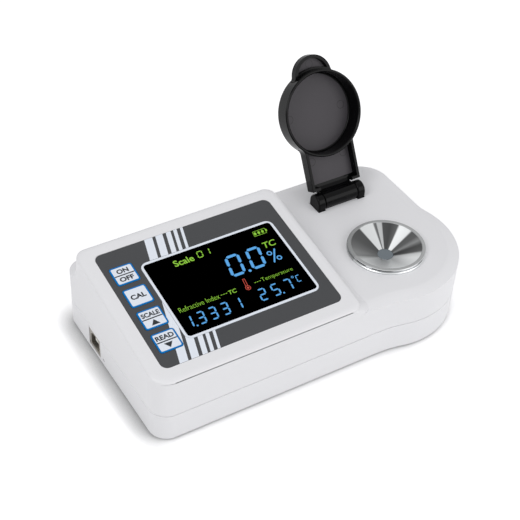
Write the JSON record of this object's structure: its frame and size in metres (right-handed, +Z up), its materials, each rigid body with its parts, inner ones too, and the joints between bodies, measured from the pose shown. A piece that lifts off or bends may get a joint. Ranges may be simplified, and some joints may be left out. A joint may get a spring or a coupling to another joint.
{
  "type": "digital refractometer",
  "caption": "Bench-top digital refractometer: sloped display housing, steel sample well in a round nose, and a hinged cup-shaped lid, shown open.",
  "frame": {"origin": "on the table plane, at the middle of the whole object's footprint with the lid open", "axes": "+X runs along the length from the display side to the sample well, +Y from the front to the back, +Z up"},
  "size_m": [0.18, 0.1156, 0.1006],
  "materials": {
    "shell_abs": "fine moulded texture, light grey ABS",
    "lid_plastic": "satin moulded black",
    "black_plastic": "moulded black",
    "white_plastic": "moulded white",
    "foot_rubber": "matt moulded rubber",
    "screw_steel": "zinc plated",
    "plated_steel": "nickel plated sheet",
    "polished_steel": "finely turned and polished stainless steel",
    "label_film": "printed satin polyester film, dark grey",
    "key_film": "printed satin polyester film, bluish white",
    "window_acrylic": "clear window printed black behind, with a white frame",
    "display_glass": "display glass",
    "prism_glass": "polished optical glass",
    "circuit_board": "solder mask green",
    "battery_jacket": "plain printed jacket",
    "probe_brass": "drawn brass"
  },
  "bodies": {
    "case": {"lower_shell": "shell_abs", "upper_shell": "shell_abs", "rubber_feet": "foot_rubber", "case_screws": "screw_steel", "battery": "battery_jacket", "battery_snap": "black_plastic", "main_board": "circuit_board", "board_screws": "screw_steel", "processor_chip": "black_plastic", "usb_shell": "plated_steel", "usb_tongue": "black_plastic", "reset_switch": "black_plastic", "front_label": "label_film", "display_window": "window_acrylic", "lcd_glass": "display_glass", "lcd_backlight": "white_plastic", "lcd_holder": "black_plastic", "display_board": "circuit_board", "display_screws": "screw_steel", "key_switches": "black_plastic", "ribbon_cable": "white_plastic", "sample_well": "polished_steel", "prism": "prism_glass", "prism_gasket": "foot_rubber", "well_nut": "plated_steel", "optics_block": "black_plastic", "light_board": "circuit_board", "sensor_board": "circuit_board", "temperature_probe": "probe_brass", "hinge_base": "lid_plastic", "hinge_screws": "screw_steel", "hinge_pin": "screw_steel"},
    "lid": {"lid": "lid_plastic"},
    "battery_cover": {"battery_cover": "shell_abs"},
    "key_on_off": {"key_on_off": "key_film"},
    "key_cal": {"key_cal": "key_film"},
    "key_scale": {"key_scale": "key_film"},
    "key_read": {"key_read": "key_film"}
  },
  "joints": [
    {"name": "lid_hinge", "type": "hinge", "parent": "case", "child": "lid", "pos_m": [0.0517, 0.01987, 0.037], "axis": [1, 0, 0], "range_deg": [0, 118]},
    {"name": "cover_slide", "type": "slide", "parent": "case", "child": "battery_cover", "axis": [0, 1, 0], "range_m": [0, 0.03]},
    {"name": "on_off_press", "type": "slide", "parent": "case", "child": "key_on_off", "axis": [0, 0.1495, -0.9888], "range_m": [0, 0.0003], "stiffness_N_per_m": 2000},
    {"name": "cal_press", "type": "slide", "parent": "case", "child": "key_cal", "axis": [0, 0.1495, -0.9888], "range_m": [0, 0.0003], "stiffness_N_per_m": 2000},
    {"name": "scale_press", "type": "slide", "parent": "case", "child": "key_scale", "axis": [0, 0.1495, -0.9888], "range_m": [0, 0.0003], "stiffness_N_per_m": 2000},
    {"name": "read_press", "type": "slide", "parent": "case", "child": "key_read", "axis": [0, 0.1495, -0.9888], "range_m": [0, 0.0003], "stiffness_N_per_m": 2000}
  ]
}
